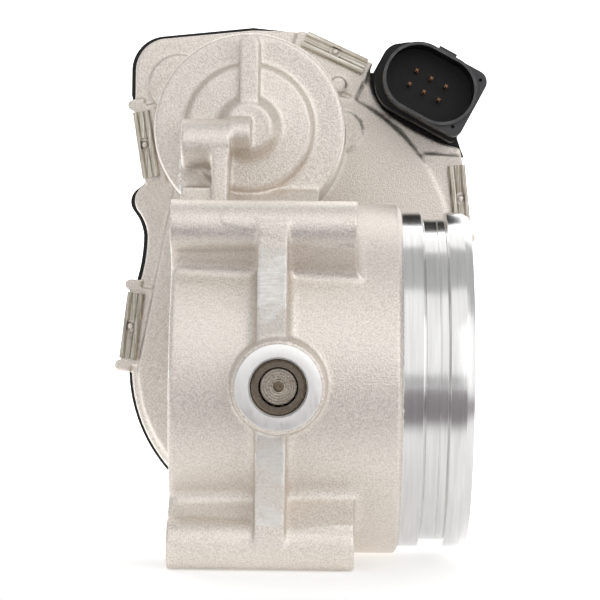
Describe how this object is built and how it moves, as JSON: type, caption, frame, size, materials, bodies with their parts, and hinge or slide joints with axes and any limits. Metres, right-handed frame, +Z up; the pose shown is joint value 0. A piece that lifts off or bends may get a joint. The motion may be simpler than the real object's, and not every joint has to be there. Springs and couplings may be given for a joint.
{
  "type": "electronic throttle body",
  "caption": "Cast throttle body: a round air bore with a motor-driven plate, bolt bosses, a turned duct spigot, a clipped gear cover and a tilted connector.",
  "frame": {"origin": "centre of the air bore on the manifold flange face", "axes": "+X along the air bore from the manifold flange to the duct spigot, +Y along the throttle shaft from the bearing boss to the gear cover, +Z up towards the motor"},
  "size_m": [0.1124, 0.138, 0.1549],
  "materials": {
    "cast_aluminium": "bead-blasted casting, machined spigot and bearing face",
    "shaft_steel": "ground",
    "plate_brass": "machined",
    "screw_steel": "zinc plated",
    "bearing_steel": "drawn, oiled",
    "spring_steel": "wire drawn",
    "clip_steel": "rolled stainless strip",
    "black_plastic": "glass-filled moulding",
    "seal_rubber": "moulded",
    "gear_plastic": "natural moulding",
    "holder_plastic": "moulding",
    "contact_copper": "stamped, tinned tips",
    "winding_copper": "enamelled wire",
    "can_steel": "zinc plated deep-drawn steel",
    "core_steel": "laminated",
    "magnet_ferrite": "sintered",
    "bush_bronze": "sintered, oil filled",
    "brush_carbon": "pressed",
    "board_laminate": "coated laminate"
  },
  "bodies": {
    "housing": {"throttle_housing": "cast_aluminium", "near_bearing_cup": "bearing_steel", "gear_bearing_cup": "bearing_steel", "near_shaft_seal": "seal_rubber", "gear_shaft_seal": "seal_rubber", "intermediate_pin": "shaft_steel", "return_spring": "spring_steel", "spring_guide": "holder_plastic", "closed_stop_screw": "screw_steel", "motor_can": "can_steel", "motor_magnets": "magnet_ferrite", "motor_rear_bush": "bush_bronze", "motor_front_bush": "bush_bronze", "motor_end_plate": "can_steel", "motor_brush_holder": "holder_plastic", "motor_brushes": "brush_carbon", "motor_terminals": "contact_copper", "motor_screws": "screw_steel", "gear_cover": "black_plastic", "cover_seal": "seal_rubber", "cover_clips": "clip_steel", "connector_pins": "contact_copper", "lead_frame": "contact_copper", "sensor_board": "board_laminate"},
    "throttle": {"throttle_shaft": "shaft_steel", "valve_plate": "plate_brass", "plate_screws": "screw_steel", "sector_gear": "gear_plastic", "gear_insert": "shaft_steel", "wiper_carrier": "holder_plastic", "wiper_fingers": "contact_copper"},
    "intermediate": {"intermediate_gear": "gear_plastic"},
    "rotor": {"motor_armature": "core_steel", "motor_windings": "winding_copper", "motor_commutator": "contact_copper", "motor_shaft": "shaft_steel", "motor_pinion": "plate_brass"},
    "near_needles": {"near_needle_cage": "bearing_steel", "near_needle_rollers": "shaft_steel"},
    "gear_needles": {"gear_needle_cage": "bearing_steel", "gear_needle_rollers": "shaft_steel"}
  },
  "joints": [
    {"name": "throttle_turn", "type": "hinge", "parent": "housing", "child": "throttle", "pos_m": [0.0295, 0, 0], "axis": [0, 1, 0], "range_deg": [-7, 78], "stiffness_Nm_per_rad": 0.25, "deforming": ["return_spring"]},
    {"name": "intermediate_turn", "type": "hinge", "parent": "housing", "child": "intermediate", "pos_m": [0.02847, 0, 0.04499], "axis": [0, 1, 0], "range_deg": [-423.93, 38.5]},
    {"name": "rotor_turn", "type": "hinge", "parent": "housing", "child": "rotor", "pos_m": [0.0196, 0, 0.0707], "axis": [0, 1, 0], "range_deg": [-147.57, 1634.22]},
    {"name": "near_needles_turn", "type": "hinge", "parent": "housing", "child": "near_needles", "pos_m": [0.0295, -0.05, 0], "axis": [0, 1, 0], "range_deg": [-3.19, 33.53]},
    {"name": "gear_needles_turn", "type": "hinge", "parent": "housing", "child": "gear_needles", "pos_m": [0.0295, 0.052, 0], "axis": [0, 1, 0], "range_deg": [-3.19, 33.53]}
  ],
  "couplings": [
    {"joint": "intermediate_turn", "follows": "throttle_turn", "ratio": -5.4286},
    {"joint": "rotor_turn", "follows": "throttle_turn", "ratio": 20.939},
    {"joint": "near_needles_turn", "follows": "throttle_turn", "ratio": 0.42735},
    {"joint": "gear_needles_turn", "follows": "throttle_turn", "ratio": 0.42735}
  ]
}
